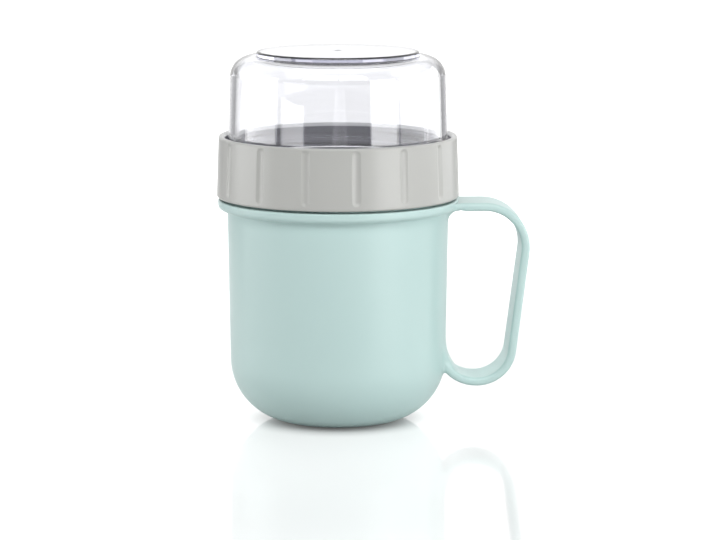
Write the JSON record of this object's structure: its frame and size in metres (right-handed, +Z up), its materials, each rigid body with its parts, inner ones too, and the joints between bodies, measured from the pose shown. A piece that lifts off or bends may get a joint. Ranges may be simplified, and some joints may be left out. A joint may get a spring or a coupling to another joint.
{
  "type": "muesli to-go cup",
  "caption": "To-go cup with a tapered body and band handle, a grooved screw collar with a divider inside, and a clear screw-in dome that stands as a bowl when turned over.",
  "frame": {"origin": "on the cup's axis, at the flat base", "axes": "+Z up along the cup's axis, +X towards the handle, and the handle lies in the plane y = 0"},
  "size_m": [0.1306, 0.1014, 0.1555],
  "materials": {
    "mint_plastic": "satin moulded polypropylene, pale mint",
    "grey_plastic": "satin moulded polypropylene, light warm grey",
    "dark_plastic": "glossy, dark silver grey",
    "silicone": "soft translucent white silicone",
    "clear_plastic": "clear polished plastic"
  },
  "bodies": {
    "cup": {"cup": "mint_plastic"},
    "cup_seal": {"cup_seal": "silicone"},
    "collar": {"collar": "grey_plastic", "divider": "dark_plastic"},
    "dome_seal": {"dome_seal": "silicone"},
    "dome": {"dome": "clear_plastic"}
  },
  "joints": [
    {"name": "collar_lift", "type": "slide", "parent": "cup", "child": "cup_seal", "axis": [0, 0, 1], "range_m": [0, 0.0105]},
    {"name": "collar_turn", "type": "hinge", "parent": "cup_seal", "child": "collar", "pos_m": [0, 0, 0.1066], "axis": [0, 0, 1], "range_deg": [0, 630]},
    {"name": "dome_lift", "type": "slide", "parent": "collar", "child": "dome_seal", "axis": [0, 0, 1], "range_m": [0, 0.0105]},
    {"name": "dome_turn", "type": "hinge", "parent": "dome_seal", "child": "dome", "pos_m": [0, 0, 0.1104], "axis": [0, 0, 1], "range_deg": [0, 630]}
  ],
  "couplings": [
    {"joint": "collar_lift", "follows": "collar_turn", "m_per_rad": 0.00095492},
    {"joint": "dome_lift", "follows": "dome_turn", "m_per_rad": 0.00095492}
  ]
}
